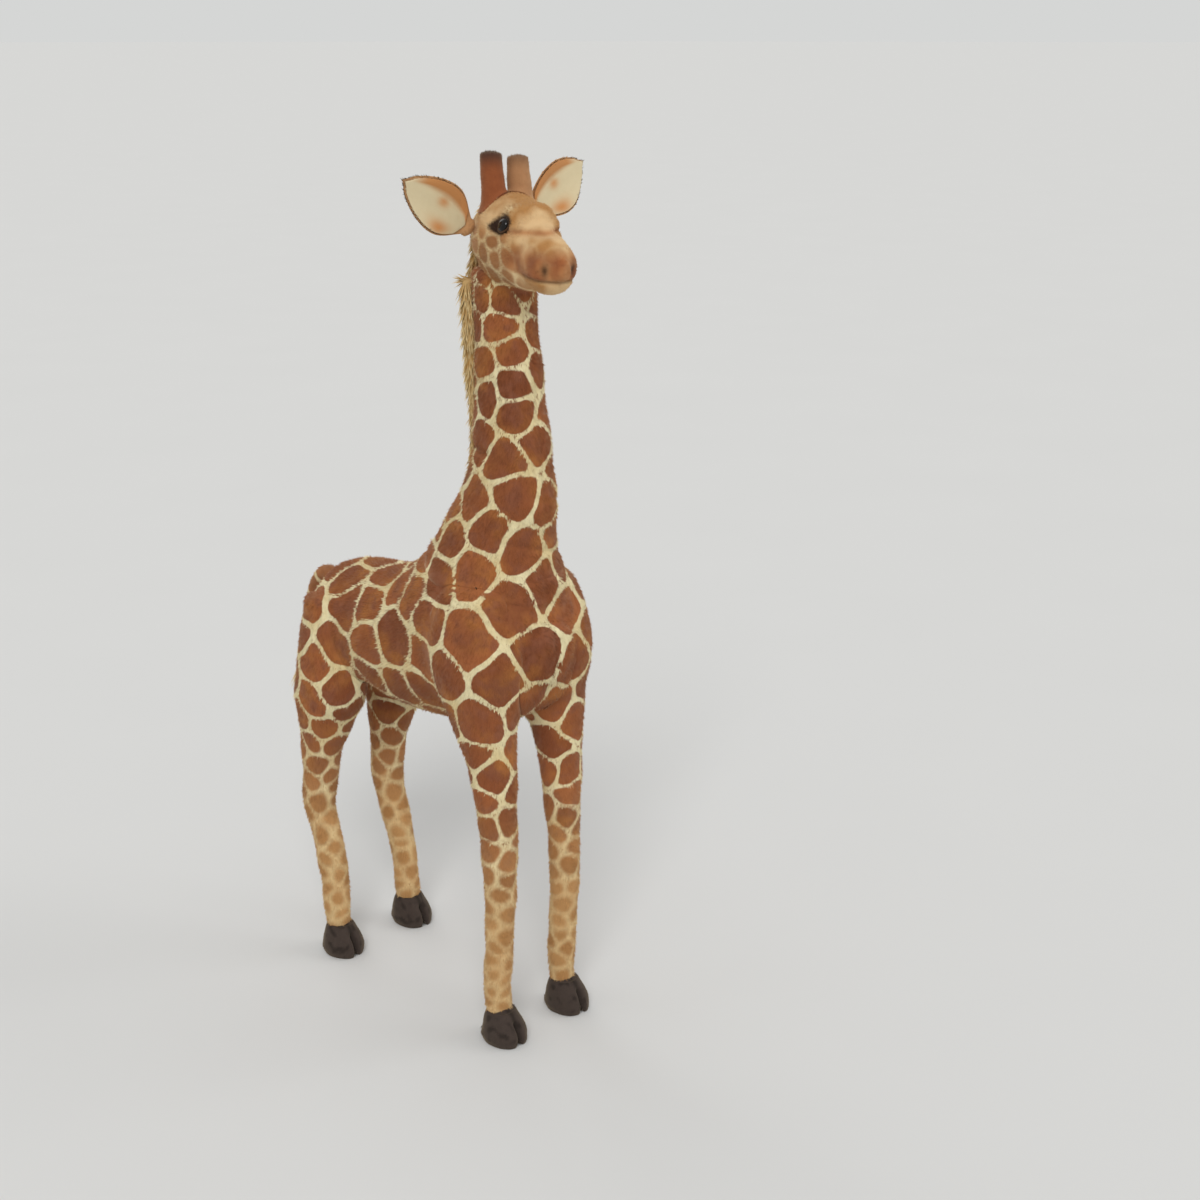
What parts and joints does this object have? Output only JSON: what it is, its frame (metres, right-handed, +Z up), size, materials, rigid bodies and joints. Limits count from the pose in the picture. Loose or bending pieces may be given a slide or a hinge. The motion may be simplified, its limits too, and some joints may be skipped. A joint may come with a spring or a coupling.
{
  "type": "standing plush giraffe",
  "caption": "Tall standing stuffed giraffe in patched plush, with a long maned neck, a turning head, ears that flap, stub horns, wire-stiffened legs with flat hooves and a tufted tail.",
  "frame": {"origin": "on the floor, under the middle of the toy's length and width", "axes": "the toy faces -Y, its left side is +X, and +Z is up"},
  "size_m": [0.2309, 0.5269, 1],
  "materials": {
    "plush_brown": "short-pile plush printed with red-brown patches between cream lines",
    "plush_tan": "short-pile plush in warm tan",
    "plush_cream": "short-pile plush in pale cream",
    "plush_horn": "short-pile plush in red-brown, darker at the tips",
    "plush_hoof": "short-pile plush in near-black brown",
    "long_pile": "long combed pile in golden brown",
    "eye_plastic": "polished black plastic",
    "eyelid_plush": "rolled dark plush",
    "washer_plastic": "moulded white plastic",
    "steel_wire": "bright annealed wire",
    "binding_tape": "wound cloth tape"
  },
  "bodies": {
    "body": {"trunk": "plush_brown", "neck": "plush_brown", "mane": "long_pile", "front_left_leg": "plush_brown", "front_left_hoof": "plush_hoof", "front_left_leg_wire": "steel_wire", "front_right_leg": "plush_brown", "front_right_hoof": "plush_hoof", "front_right_leg_wire": "steel_wire", "rear_left_leg": "plush_brown", "rear_left_hoof": "plush_hoof", "rear_left_leg_wire": "steel_wire", "rear_right_leg": "plush_brown", "rear_right_hoof": "plush_hoof", "rear_right_leg_wire": "steel_wire", "spine_wire": "steel_wire", "front_binding": "binding_tape", "rear_binding": "binding_tape"},
    "head": {"head": "plush_tan", "muzzle": "plush_tan", "poll_mane": "long_pile", "left_horn": "plush_horn", "right_horn": "plush_horn", "left_eye": "eye_plastic", "right_eye": "eye_plastic", "left_eye_washer": "washer_plastic", "right_eye_washer": "washer_plastic", "left_eyelid": "eyelid_plush", "right_eyelid": "eyelid_plush"},
    "left_ear": {"left_ear_back": "plush_tan", "left_ear_lining": "plush_cream"},
    "right_ear": {"right_ear_back": "plush_tan", "right_ear_lining": "plush_cream"},
    "tail": {"tail": "plush_brown", "tail_wire": "steel_wire"},
    "tuft": {"tail_tuft": "long_pile"}
  },
  "joints": [
    {"name": "head_turn", "type": "hinge", "parent": "body", "child": "head", "pos_m": [0.0017, -0.1347, 0.852], "axis": [0, 0, 1], "range_deg": [-23, 57]},
    {"name": "left_ear_flap", "type": "hinge", "parent": "head", "child": "left_ear", "pos_m": [0.03363, -0.14274, 0.93352], "axis": [0.4437, -0.1008, -0.8905], "range_deg": [-20, 30], "stiffness_Nm_per_rad": 0.03},
    {"name": "right_ear_flap", "type": "hinge", "parent": "head", "child": "right_ear", "pos_m": [-0.03669, -0.12882, 0.92154], "axis": [0.1447, -0.1618, 0.9762], "range_deg": [-20, 30], "stiffness_Nm_per_rad": 0.03},
    {"name": "tail_lift", "type": "hinge", "parent": "body", "child": "tail", "pos_m": [0.0017, 0.1935, 0.47682], "axis": [1, 0, 0], "range_deg": [-5, 65], "stiffness_Nm_per_rad": 0.2, "springref_deg": 2.86},
    {"name": "tuft_sway", "type": "hinge", "parent": "tail", "child": "tuft", "pos_m": [0.0017, 0.2495, 0.35282], "axis": [1, 0, 0], "range_deg": [-35, 35]}
  ]
}
